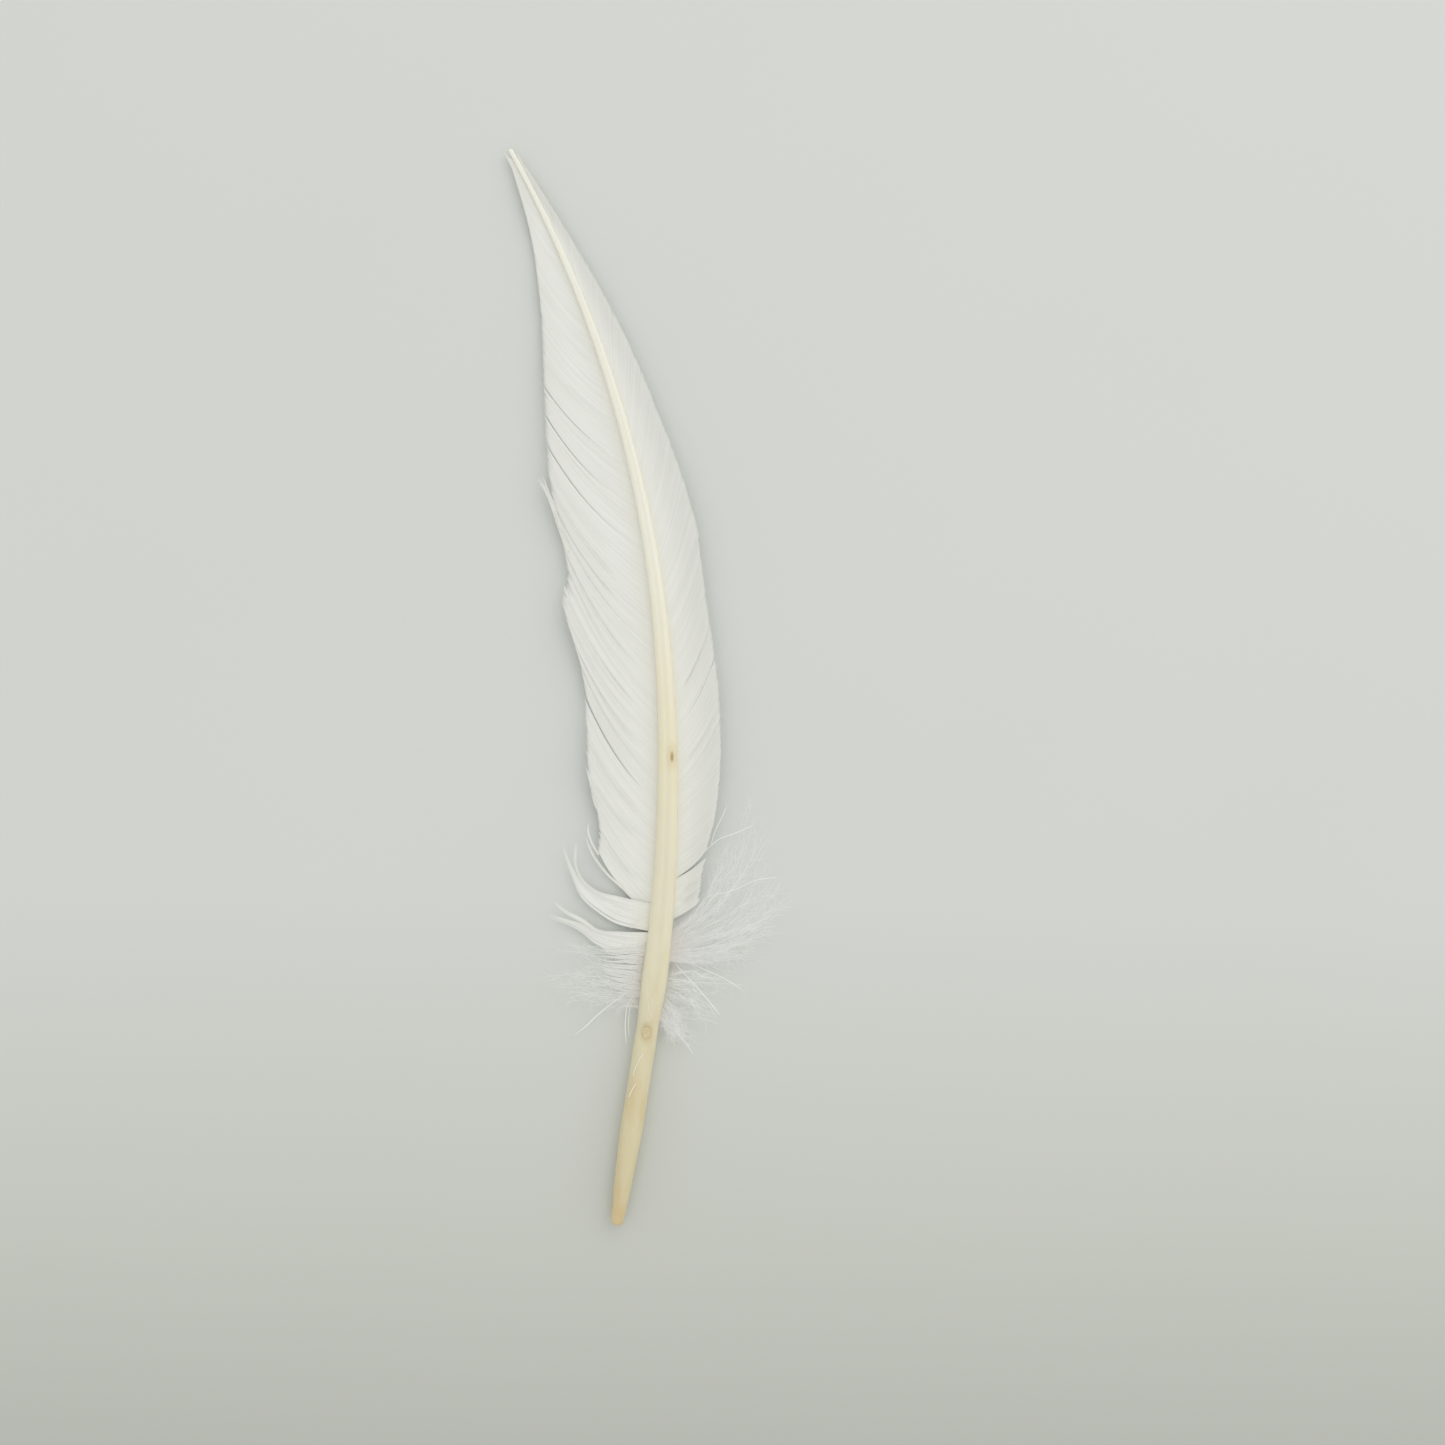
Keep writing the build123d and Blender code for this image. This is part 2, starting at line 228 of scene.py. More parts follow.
def makeHorn():
    # keratin horn, cured and polished: creamy and even, a soft gloss, amber where it is hollow
    material, tree = newMaterial("curedHornSatin")
    look = hornLook
    place3 = objectPlace(tree)
    share = mapRange(tree, separate(tree, place3)["Y"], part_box("barrel")[0].y, tipY)
    base = ramp(tree, share, look["stops"])
    # long amber patches: noise drawn out along the shaft, 3 mm by 12 mm
    drawn = addNode(tree, "ShaderNodeMapping", {"Vector": place3, "Scale": (330.0, 85.0, 330.0)}).outputs[0]
    patches = mapRange(tree, noiseAt(tree, drawn, 1.0, 3.0), 0.47, 0.72)
    patches = calc(tree, "MULTIPLY", patches, ramp(tree, share, look["amberStrength"]))
    colour = mixColour(tree, patches, base, toLinear(look["amber"]))
    # fine fibres, drawn out lengthwise
    across = 1 / (look["fibre"] * mm)
    fine = addNode(tree, "ShaderNodeMapping", {"Vector": place3, "Scale": (across, 25.0, across)}).outputs[0]
    fibres = noiseAt(tree, fine, 1.0, 2.0)
    shade = calc(tree, "MULTIPLY", fibres, 0.16)
    colour = mixColour(tree, shade, colour, toLinear("#E0D5B4"), "MULTIPLY")
    # the small brown scar, and the amber pit round the upper umbilicus
    for spot, (width, length), tint, power in (
            (scarPlace, (0.5 * mm, 1.6 * mm), look["mark"], 0.75),
            (scarPlace, (1.8 * mm, 4.5 * mm), look["amber"], 0.25),
            (pitPlace, (1.9 * mm, 3.4 * mm), "#C7AD72", 0.55)):
        away = vectorCalc(tree, "SUBTRACT", place3, spot)
        away = vectorCalc(tree, "MULTIPLY", away, (1 / width, 1 / length, 0.0))
        distance = addNode(tree, "ShaderNodeVectorMath", {0: away}, operation="LENGTH").outputs["Value"]
        uneven = calc(tree, "ADD", distance, calc(tree, "MULTIPLY", fibres, 0.5))
        near = mapRange(tree, uneven, 0.55, 1.35, power, 0.0, interpolation_type="SMOOTHSTEP")
        colour = mixColour(tree, near, colour, toLinear(tint))
    rough = mapRange(tree, fibres, 0.0, 1.0, look["roughness"] - 0.06, look["roughness"] + 0.1)
    bump = addNode(tree, "ShaderNodeBump", {"Height": fibres, "Distance": 0.03 * mm, "Strength": 0.35})
    shader = addNode(tree, "ShaderNodeBsdfPrincipled", {
        "Base Color": colour, "Roughness": rough, "Normal": bump.outputs[0],
        "IOR": 1.54, "Coat Weight": 0.25, "Coat Roughness": 0.2,
        "Subsurface Weight": 0.25, "Subsurface Scale": 1.2 * mm, "Subsurface Radius": (1.0, 0.75, 0.45)})
    addNode(tree, "ShaderNodeOutputMaterial", {"Surface": shader.outputs[0]})
    return material


def makeBarbs(name, low, high, rootColour, roughness, glow):
    # dry feather keratin: white and silky, each barb its own shade, warmer where it leaves the shaft;
    # a little glow stands for the light that passes on through down from hair to hair
    material, tree = newMaterial(name)
    tone = addNode(tree, "ShaderNodeAttribute", attribute_name="barbTone").outputs["Fac"]
    along = addNode(tree, "ShaderNodeAttribute", attribute_name="barbAlong").outputs["Fac"]
    colour = ramp(tree, tone, [(0.0, low), (1.0, high)])
    colour = mixColour(tree, mapRange(tree, along, 0.0, 0.2, 0.6, 0.0), colour, toLinear(rootColour))
    # barbules: a fine grain 0.3 mm apart, coarser than the real ones so that it shows
    grain = noiseAt(tree, objectPlace(tree), 1 / (0.3 * mm), 2.0)
    bump = addNode(tree, "ShaderNodeBump", {"Height": grain, "Distance": 0.02 * mm, "Strength": 0.4})
    shader = addNode(tree, "ShaderNodeBsdfPrincipled", {
        "Base Color": colour, "Roughness": roughness, "Normal": bump.outputs[0], "IOR": 1.54,
        "Specular IOR Level": 0.3, "Sheen Weight": 0.35, "Sheen Roughness": 0.5,
        "Emission Color": toLinear(high), "Emission Strength": glow})
    addNode(tree, "ShaderNodeOutputMaterial", {"Surface": shader.outputs[0]})
    return material


def makePlain(name, dark, light, grain, roughness):
    # dry pith or pulp: matt and crumbly, mottled paler and darker at random
    material, tree = newMaterial(name)
    noise = noiseAt(tree, objectPlace(tree), 1 / (grain * mm), 5.0)
    colour = ramp(tree, noise, [(0.3, dark), (0.7, light)])
    bump = addNode(tree, "ShaderNodeBump", {"Height": noise, "Distance": 0.1 * mm, "Strength": 0.6})
    shader = addNode(tree, "ShaderNodeBsdfPrincipled", {
        "Base Color": colour, "Roughness": roughness, "Normal": bump.outputs[0], "IOR": 1.5})
    addNode(tree, "ShaderNodeOutputMaterial", {"Surface": shader.outputs[0]})
    return material


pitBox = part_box("upper_umbilicus_plug")
pitPlace = tuple((pitBox[0] + pitBox[1]) / 2)
scarY = station(0.305)
scarPlace = (shaftX(scarY) + 0.45 * shaftHalf(scarY), scarY, shaftHigh(scarY))
horn = makeHorn()
vaneWhite = makeBarbs("vaneBarbSilkyWhite", "#ECECE7", "#F3F3EF", "#F1EEE2", 0.6, 0.0)
downWhite = makeBarbs("downBarbMattWhite", "#F8F8F6", "#FFFFFF", "#F6ECE6", 0.8, 0.035)
pithWhite = makePlain("rachisPithMatt", "#DCD5BE", "#F1EDE0", 0.5, 0.85)
driedPulp = makePlain("driedPulpAmber", "#CDBB8E", "#E6DAB6", 0.5, 0.5)
print("materials made")


# shaft: barrel and rachis as one family of rings
shaftCut = {
    "ringPoints": 48,
    "ringGap": 0.9,  # mm along the shaft
    "grooveDepth": 0.07,  # share of the depth, the groove along the upper side
    "grooveWidth": 0.16,  # share of the width
    "boxiness": 3.0,  # 2 is an ellipse; the rachis is nearly square in section
    "pitDepth": 0.30,  # mm, round the upper umbilicus
}


def readBarrel():
    points = nodePoints("barrel")
    top = points[points[:, 1] > points[:, 1].max() - 0.05 * mm].mean(0)
    low = points[points[:, 1] < points[:, 1].min() + 0.3 * mm].mean(0)
    top[2] = low[2] = (points[:, 2].min() + points[:, 2].max()) / 2
    axis = (top - low) / np.linalg.norm(top - low)
    heights = (points - low) @ axis
    radii = np.linalg.norm((points - low) - np.outer(heights, axis), axis=1)
    # the outer wall only widens on the way up, so a narrower ring of points belongs to the hollow
    levels, knots, outer = np.round(heights / (0.1 * mm)), [], []
    for level in np.unique(levels):
        widest = radii[levels == level].max()
        if level > 5 and (not outer or widest > outer[-1] - 0.02 * mm):
            knots.append(level * 0.1 * mm)
            outer.append(widest)
    even = np.linspace(knots[0], knots[-1], 25)
    return low, axis, smoothThrough(even, np.interp(even, knots, outer)), heights.max()


barrelLow, barrelAxis, barrelRadius, barrelLength = readBarrel()


def ringMesh(name, rings):
    # a closed tube through rings of equal size, with a fan over each end
    count, sides = len(rings), len(rings[0])
    verts = [tuple(p) for ring in rings for p in ring]
    faces = []
    for i in range(count - 1):
        for j in range(sides):
            k = (j + 1) % sides
            faces.append((i * sides + j, i * sides + k, (i + 1) * sides + k, (i + 1) * sides + j))
    for end in (0, count - 1):
        verts.append(tuple(np.mean(rings[end], axis=0)))
        for j in range(sides):
            k = (j + 1) % sides
            pair = (end * sides + k, end * sides + j) if end == 0 else (end * sides + j, end * sides + k)
            faces.append((*pair, len(verts) - 1))
    mesh = bpy.data.meshes.new(name)
    mesh.from_pydata(verts, [], faces)
    mesh.update()
    mesh.shade_smooth()
    return mesh


def superRing(centre, halfWidth, halfDepth, power, groove):
    turn = np.linspace(0, 2 * math.pi, shaftCut["ringPoints"], endpoint=False)
    c, s = np.cos(turn), np.sin(turn)
    x = np.sign(c) * np.abs(c) ** (2 / power)
    z = np.sign(s) * np.abs(s) ** (2 / power)
    dent = groove * np.exp(-(x / shaftCut["grooveWidth"]) ** 2) * (s > 0)
    z = z * (1 - 0.10 * x * x * (s > 0)) - 2 * dent
    return np.stack([centre[0] + halfWidth * x, np.full_like(x, centre[1]), centre[2] + halfDepth * z],
                    axis=1)


def dentPit(ring):
    # sinks the horn round the upper umbilicus, so that its plug shows in a shallow pit
    span = (pitBox[1] - pitBox[0]) / 2 * 1.25
    away = np.hypot((ring[:, 0] - pitPlace[0]) / span.x, (ring[:, 1] - pitPlace[1]) / span.y)
    upper = ring[:, 2] > barrelLow[2]
    ring[:, 2] -= shaftCut["pitDepth"] * mm * (1 - ease((away - 0.6) / 0.7)) * upper
    return ring


def rachisRings():
    rings = []
    for y in np.arange(junctionY, tipY + 1e-9, shaftCut["ringGap"] * mm):
        share = (y - junctionY) / rachisLength
        power = 2 + (shaftCut["boxiness"] - 2) * float(ease(share / 0.06))
        groove = shaftCut["grooveDepth"] * float(ease((share - 0.02) / 0.1))
        low, high = float(shaftLow(y)), float(shaftHigh(y))
        centre = (float(shaftX(y)), y, (low + high) / 2)
        rings.append(dentPit(superRing(centre, float(shaftHalf(y)), (high - low) / 2, power, groove)))
    # a ring close to the hidden end keeps it square, so the join won't show
    rings.insert(1, rings[0] + (rings[1] - rings[0]) * 0.02)
    last = rings[-1]
    middle = last.mean(0)
    for push, size in ((0.25, 0.8), (0.4, 0.45)):
        rings.append((last - middle) * size + middle + np.array([0, push * mm, 0]))
    return rings


def barrelRings():
    rings = []
    joinHalf = float(shaftHalf(junctionY))
    heights = np.arange(0.9 * mm, barrelLength - 0.1 * mm, 0.55 * mm)
    for h in np.append(heights, [barrelLength - 0.02 * mm, barrelLength]):
        centre = barrelLow + barrelAxis * h
        radius = float(barrelRadius(h))
        toJoin = float(ease((h - barrelLength + 7 * mm) / (7 * mm)))
        centre[2] += (float(shaftLow(junctionY) + shaftHigh(junctionY)) / 2 - centre[2]) * toJoin
        radius = radius + (joinHalf - radius) * toJoin
        # cured quills are never quite true: a slow waver of a few hundredths
        radius *= 1 + 0.006 * math.sin(h / (3.1 * mm)) * (1 - toJoin)
        ring = superRing(centre, radius, radius, 2, 0)
        ring[:, 1] += (ring[:, 0] - centre[0]) * -barrelAxis[0] / barrelAxis[1] * (1 - toJoin)
        rings.append(dentPit(ring))
    first, centre = rings[0], rings[0].mean(0)
    # the rounded lower end, then the small pit of the lower umbilicus
    nose = [(0.93, -0.35), (0.78, -0.68), (0.56, -0.88), (0.40, -0.86), (0.33, -0.55), (0.30, 0.1)]
    for size, push in nose:
        rings.insert(0, (first - centre) * size + centre + barrelAxis * push * mm)
    return rings


rachis = place(makeObject("rachisSkin", ringMesh("rachisSkin", rachisRings())), "rachis_horn",
               "rachis_cortex")
barrelSkin = place(makeObject("barrelSkin", ringMesh("barrelSkin", barrelRings())), "barrel_horn", "barrel")
for piece in (rachis, barrelSkin):
    piece.data.materials.append(horn)
for name, material in (("rachis_pith", pithWhite), ("pulp_caps", driedPulp),
                       ("lower_umbilicus_plug", driedPulp), ("upper_umbilicus_plug", driedPulp)):
    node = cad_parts[name]
    node.data.materials.clear()
    node.data.materials.append(material)
print("shaft made:", len(rachis.data.polygons), "and", len(barrelSkin.data.polygons), "faces")


# geometry nodes: barbs laid on a guide surface
def addInput(tree, name, kind, default=None):
    item = tree.interface.new_socket(name, in_out="INPUT", socket_type=kind)
    if default is not None:
        item.default_value = default
    return item


def setInputs(modifier, values):
    items = {item.name: item for item in modifier.node_group.interface.items_tree
             if item.item_type == "SOCKET"}
    for name, value in values.items():
        modifier[items[name].identifier] = value


def startTree(treeName, outputName, inputs):
    tree = bpy.data.node_groups.new(treeName, "GeometryNodeTree")
    addInput(tree, "Guide", "NodeSocketGeometry")
    for name, kind, default in inputs:
        addInput(tree, name, "NodeSocket" + kind, default)
    tree.interface.new_socket(outputName, in_out="OUTPUT", socket_type="NodeSocketGeometry")
    return tree, tree.nodes.new("NodeGroupInput").outputs


def startStrands(tree, entry):
    # a straight strand for each barb; also gives each point its barb's number and its place v along it
    line = addNode(tree, "GeometryNodeCurvePrimitiveLine", {"End": (1.0, 0.0, 0.0)}).outputs[0]
    template = addNode(tree, "GeometryNodeResampleCurve", {
        "Curve": line, "Count": entry["Points"]}, mode="COUNT").outputs[0]
    roots = addNode(tree, "GeometryNodeMeshLine", {
        "Count": entry["Barbs"], "Offset": (0.0, 1.0, 0.0)}).outputs[0]
    copies = addNode(tree, "GeometryNodeInstanceOnPoints", {"Points": roots, "Instance": template}).outputs[0]
    strands = addNode(tree, "GeometryNodeRealizeInstances", {0: copies}).outputs[0]
    index = addNode(tree, "GeometryNodeInputIndex").outputs[0]
    barb = calc(tree, "FLOOR", calc(tree, "DIVIDE", calc(tree, "ADD", index, 0.5), entry["Points"]))
    step = calc(tree, "SUBTRACT", index, calc(tree, "MULTIPLY", barb, entry["Points"]))
    v = calc(tree, "DIVIDE", step, calc(tree, "SUBTRACT", entry["Points"], 1.0))
    return strands, barb, v


def randomFor(tree, entry, owner, low, high, salt):
    seed = calc(tree, "ADD", entry["Seed"], float(salt))
    node = addNode(tree, "FunctionNodeRandomValue", {"ID": owner, "Seed": seed}, data_type="FLOAT")
    node.inputs[2].default_value, node.inputs[3].default_value = low, high
    return node.outputs[1]


def sampleGuide(tree, entry, value, place2, kind="FLOAT_VECTOR"):
    # what the guide surface holds at a place given in shares
    uv = addNode(tree, "GeometryNodeInputNamedAttribute", {"Name": "guideUv"}, data_type="FLOAT_VECTOR")
    return addNode(tree, "GeometryNodeSampleUVSurface", {
        "Mesh": entry["Guide"], "Value": value, 2: uv.outputs[0], 3: place2}, data_type=kind).outputs[0]


def keepOnPoints(tree, geometry, name, value):
    return addNode(tree, "GeometryNodeStoreNamedAttribute", {
        "Geometry": geometry, "Name": name, "Value": value}, data_type="FLOAT", domain="POINT").outputs[0]


def pointPlace(tree):
    return addNode(tree, "GeometryNodeInputPosition").outputs[0]


def finishTree(tree, entry, body):
    # flat faces, because smooth shading darkens strands this thin
    body = addNode(tree, "GeometryNodeSetShadeSmooth", {"Geometry": body, "Shade Smooth": False}).outputs[0]
    body = addNode(tree, "GeometryNodeRealizeInstances", {0: body}).outputs[0]
    body = addNode(tree, "GeometryNodeSetMaterial", {
        "Geometry": body, "Material": entry["Material"]}).outputs[0]
    tree.links.new(body, tree.nodes.new("NodeGroupOutput").inputs[0])
    return tree


def buildBarbTree():
    # guide surface in, one closed strand for each barb out; u runs across the barbs and v along them
    tree, entry = startTree("layBarbs", "Barbs made", (
        ("Barbs", "Int", 40), ("Points", "Int", 18), ("Overlap", "Float", 1.3), ("Flatness", "Float", 0.34),
        ("Fray", "Float", 0.03), ("Ripple", "Float", 0.2 * mm), ("Stray", "Float", 0.0),
        ("Thinnest", "Float", 0.04 * mm), ("Seed", "Int", 1), ("Material", "Material", None)))
    strands, barb, v = startStrands(tree, entry)

    def random(low, high, salt):
        return randomFor(tree, entry, barb, low, high, salt)

    jitter = random(-0.15, 0.15, 11)
    u = calc(tree, "DIVIDE", calc(tree, "ADD", calc(tree, "ADD", barb, 0.5), jitter), entry["Barbs"])
    short = calc(tree, "MULTIPLY", calc(tree, "POWER", random(0.0, 1.0, 23), 2.0), entry["Fray"])
    vCut = calc(tree, "MULTIPLY", v, calc(tree, "SUBTRACT", 1.0, short))
    # neighbouring barbs drift together into little clumps towards their tips
    clump = noiseAt(tree, combine(tree, calc(tree, "MULTIPLY", u, 9.0), entry["Seed"]), 1.7, 1.0)
    drift = calc(tree, "MULTIPLY", calc(tree, "SUBTRACT", clump, 0.5), calc(tree, "POWER", v, 3.0))
    uDrift = calc(tree, "ADD", u, calc(tree, "MULTIPLY", drift, entry["Stray"]), True)
    place2 = combine(tree, calc(tree, "MINIMUM", uDrift, 0.999), vCut)
    onGuide = sampleGuide(tree, entry, pointPlace(tree), place2)
    spread = addNode(tree, "GeometryNodeInputNamedAttribute", {"Name": "spread"},
                     data_type="FLOAT").outputs[0]
    spread = sampleGuide(tree, entry, spread, place2, "FLOAT")
    rippleAt = combine(tree, calc(tree, "MULTIPLY", u, 14.0), calc(tree, "MULTIPLY", v, 1.3), entry["Seed"])
    ripple = noiseAt(tree, rippleAt, 1.0, 2.0)
    lift = calc(tree, "MULTIPLY", calc(tree, "SUBTRACT", ripple, 0.5), entry["Ripple"])
    lift = calc(tree, "ADD", calc(tree, "MULTIPLY", lift, 2.0), random(-0.000006, 0.000006, 37))
    lift = calc(tree, "MULTIPLY", lift, calc(tree, "MINIMUM", calc(tree, "MULTIPLY", v, 3.0), 1.0))
    laid = addNode(tree, "GeometryNodeSetPosition", {
        "Geometry": strands, "Position": onGuide, "Offset": combine(tree, z=lift)}).outputs[0]
    half = calc(tree, "DIVIDE", calc(tree, "MULTIPLY", spread, entry["Overlap"]),
                calc(tree, "MULTIPLY", entry["Barbs"], 2.0))
    half = calc(tree, "MAXIMUM", half, entry["Thinnest"])
    taper = mapRange(tree, v, 0.86, 1.0, 1.0, 0.22)
    sized = addNode(tree, "GeometryNodeSetCurveRadius", {
        "Curve": laid, "Radius": calc(tree, "MULTIPLY", half, taper)}).outputs[0]
    sized = keepOnPoints(tree, sized, "barbTone", random(0.0, 1.0, 53))
    sized = keepOnPoints(tree, sized, "barbAlong", v)
    turned = addNode(tree, "GeometryNodeSetCurveNormal", {"Curve": sized}, mode="Z_UP").outputs[0]
    diamond = addNode(tree, "GeometryNodeCurvePrimitiveCircle", {"Resolution": 4, "Radius": 1.0}).outputs[0]
    profile = addNode(tree, "GeometryNodeTransform", {
        "Geometry": diamond, "Scale": combine(tree, 1.0, entry["Flatness"], 1.0)}).outputs[0]
    radius = addNode(tree, "GeometryNodeInputRadius").outputs[0]
    body = addNode(tree, "GeometryNodeCurveToMesh", {
        "Curve": turned, "Profile Curve": profile, "Scale": radius, "Fill Caps": True}).outputs[0]
    return finishTree(tree, entry, body)


barbTree = buildBarbTree()


def guideMesh(name, grid):
    # grid is rows across the barbs (u) by columns along them (v), in metres
    rows, columns = grid.shape[:2]
    verts = grid.reshape(-1, 3)
    faces = [(i * columns + j, (i + 1) * columns + j, (i + 1) * columns + j + 1, i * columns + j + 1)
             for i in range(rows - 1) for j in range(columns - 1)]
    mesh = bpy.data.meshes.new(name)
    mesh.from_pydata([tuple(p) for p in verts], [], faces)
    uv = mesh.attributes.new("guideUv", "FLOAT2", "CORNER")
    loops = np.array([v for face in faces for v in face])
    flat = np.stack([loops // columns / (rows - 1), loops % columns / (columns - 1)], axis=1)
    uv.data.foreach_set("vector", flat.astype(np.float32).ravel())
    # how wide the whole guide is across the barbs, per unit of u, so that barbs can just overlap
    du = np.gradient(grid, axis=0) * (rows - 1)
    dv = np.gradient(grid, axis=1)
    dv /= np.linalg.norm(dv, axis=2, keepdims=True) + 1e-12
    across = np.linalg.norm(np.cross(du, dv), axis=2)
    spread = mesh.attributes.new("spread", "FLOAT", "POINT")
    spread.data.foreach_set("value", across.astype(np.float32).ravel())
    mesh.update()
    return mesh


def growOn(name, grid, tree, values):
    # runs a node tree on a guide and keeps what it made as a plain mesh
    carrier = makeObject(name + "Guide", guideMesh(name + "Guide", grid))
    modifier = carrier.modifiers.new("grow", "NODES")
    modifier.node_group = tree
    setInputs(modifier, values)
    bpy.context.view_layer.update()
    graph = bpy.context.evaluated_depsgraph_get()
    mesh = bpy.data.meshes.new_from_object(
        carrier.evaluated_get(graph), preserve_all_data_layers=True, depsgraph=graph)
    mesh.name = name
    bpy.data.objects.remove(carrier)
    return makeObject(name, mesh)


# vanes
vane = {
    "pitch": 0.42,  # mm between barb roots along the rachis
    "seat": 0.25,  # mm that the roots sit inside the rachis's flank
    "turnOut": 0.60,  # where a barb bends over, as a share of its way out
    "turnUp": 0.34,  # and of its rise
    "rise": {  # mm along the shaft from a barb's root to its tip, by share of the rachis
        -1: [(0.10, 15.5), (0.14, 16.5), (0.18, 19.0), (0.25, 26.0), (0.36, 33.0), (0.43, 30.0),
             (0.54, 26.0), (0.59, 23.0), (0.64, 19.0), (0.75, 17.0), (0.85, 14.5), (0.93, 10.0),
             (0.985, 5.0)],
        1: [(0.10, 3.5), (0.12, 4.5), (0.17, 6.5), (0.19, 7.5), (0.27, 15.5), (0.34, 18.0), (0.41, 18.0),
            (0.47, 19.0), (0.60, 19.0), (0.75, 17.0), (0.85, 14.0), (0.93, 10.0), (0.985, 5.0)],
    },
}
riseAt = {side: smoothThrough([station(share) for share, _ in rows], [rise * mm for _, rise in rows])
          for side, rows in vane["rise"].items()}


def barbPoints(side, rootY, v, reachScale, riseScale):
    # points of one barb on the smooth vane: a quadratic curve in plan, at the vane's own height
    rise = float(riseAt[side](rootY)) * riseScale
    endY = min(rootY + rise, tipY - 0.4 * mm)
    reachOf, a, b, c = vaneShape[side]
    rootX = float(shaftX(rootY)) + side * (float(shaftHalf(rootY)) - vane["seat"] * mm)
    endX = float(shaftX(endY)) + side * float(reachOf(endY)) * reachScale
    root, end = np.array([rootX, rootY]), np.array([endX, endY])
    turn = root + np.array([vane["turnOut"], vane["turnUp"]]) * (end - root)
    v = np.asarray(v, float)[:, None]
    plan = root * (1 - v) ** 2 + 2 * v * (1 - v) * turn + end * v * v
    y = plan[:, 1]
    out = (plan[:, 0] - shaftX(y)) * side
    height = a(y) * out * out + b(y) * out + c(y) + shaftLow(y)
    return np.column_stack([plan, height])


def webGrid(side, low, high, look, rows, columns=22):
    # the guide of one web, between two splits; folds are soft grooves that run along the barbs
    v = np.linspace(0, 1, columns)
    grid = np.empty((rows, columns, 3))
    for i, u in enumerate(np.linspace(0, 1, rows)):
        reachScale = np.interp(u, np.linspace(0, 1, len(look["reach"])), look["reach"])
        riseScale = np.interp(u, (0, 1), look.get("rise", (1.0, 1.0)))
        points = barbPoints(side, station(low + (high - low) * u), v, reachScale, riseScale)
        edges = look.get("curl", (0.0, 0.0))
        lift = v ** 1.5 * (edges[0] * math.exp(-u / 0.16) + edges[1] * math.exp(-(1 - u) / 0.16))
        for middle, depth, width in look.get("folds", ()):
            lift = lift - depth * ease((v - 0.12) / 0.3) * math.exp(-((u - middle) / width) ** 2)
        points[:, 2] = np.maximum(points[:, 2] + lift * mm, 0.15 * mm)
        grid[i] = points
    return grid


wideWebs = [  # from the lower end: shares of the rachis at the two roots, then the web's own shape
    (0.1235, 0.1645, dict(rise=(0.98, 1.0), reach=(1.2, 1.06, 1.0), curl=(0.0, 0.25), fray=0.05,
                          folds=[(0.55, 0.35, 0.12)])),
    (0.1655, 0.2496, dict(rise=(0.99, 0.985), reach=(1.04, 1.05, 1.05, 1.04), curl=(-0.2, 0.6),
                          folds=[(0.35, 0.4, 0.06), (0.68, 0.3, 0.05)])),
    (0.2503, 0.3576, dict(rise=(1.01, 0.995), reach=(1.03, 1.03, 1.06, 1.075, 0.95), curl=(-0.5, 0.25),
                          folds=[(0.22, 0.35, 0.05), (0.42, 0.5, 0.045), (0.62, 0.3, 0.04),
                                 (0.84, 0.4, 0.04)])),
    (0.3580, 0.4246, dict(rise=(1.0, 0.995), reach=(0.955, 0.98), curl=(-0.25, 0.3),
                          folds=[(0.45, 0.4, 0.09)])),
    (0.4252, 0.5394, dict(rise=(1.005, 0.985), reach=(0.985, 1.03, 1.05, 1.05), curl=(-0.3, 0.15),
                          folds=[(0.2, 0.4, 0.04), (0.46, 0.35, 0.04), (0.74, 0.25, 0.04)])),
    (0.5400, 0.5866, dict(rise=(1.008, 0.985), reach=(1.05, 1.05), curl=(-0.2, 0.15))),
    (0.5874, 0.6392, dict(rise=(1.008, 0.985), reach=(1.05, 1.04), curl=(-0.2, 0.15))),
    (0.6400, 0.9880, dict(rise=(1.008, 1.0), reach=(1.04, 1.03, 1.03, 1.04, 1.06), curl=(-0.15, 0.0),
                          fray=0.015,
                          folds=[(0.12, 0.2, 0.015), (0.3, 0.15, 0.02)])),
]
narrowWebs = [
    (0.1200, 0.1650, dict(rise=(1.0, 0.86), reach=(0.98, 1.0), fray=0.12,
                          folds=[(0.3, 0.4, 0.07), (0.62, 0.4, 0.07)])),
    (0.1668, 0.1888, dict(rise=(1.2, 0.96), reach=(1.0, 1.0), fray=0.1)),
    (0.1896, 0.2716, dict(rise=(1.02, 1.0), reach=(1.02, 1.03), curl=(0.0, 0.1), folds=[(0.5, 0.15, 0.05)])),
    (0.2722, 0.3351, dict(rise=(1.0, 0.975), reach=(1.03, 1.02), curl=(-0.1, 0.15),
                          folds=[(0.3, 0.3, 0.03)])),
    (0.3367, 0.4046, dict(rise=(1.0, 1.0), reach=(1.02, 1.02), curl=(-0.1, 0.1), folds=[(0.5, 0.3, 0.03)])),
    (0.4053, 0.4674, dict(rise=(1.005, 0.995), reach=(1.03, 1.06), curl=(-0.1, 0.1))),
    (0.4683, 0.9880, dict(rise=(1.005, 1.0), reach=(1.09, 1.05, 1.03, 1.06, 1.06, 1.12, 1.12, 1.0),
                          curl=(-0.1, 0.0),
                          fray=0.02, folds=[(0.25, 0.1, 0.02)])),
]

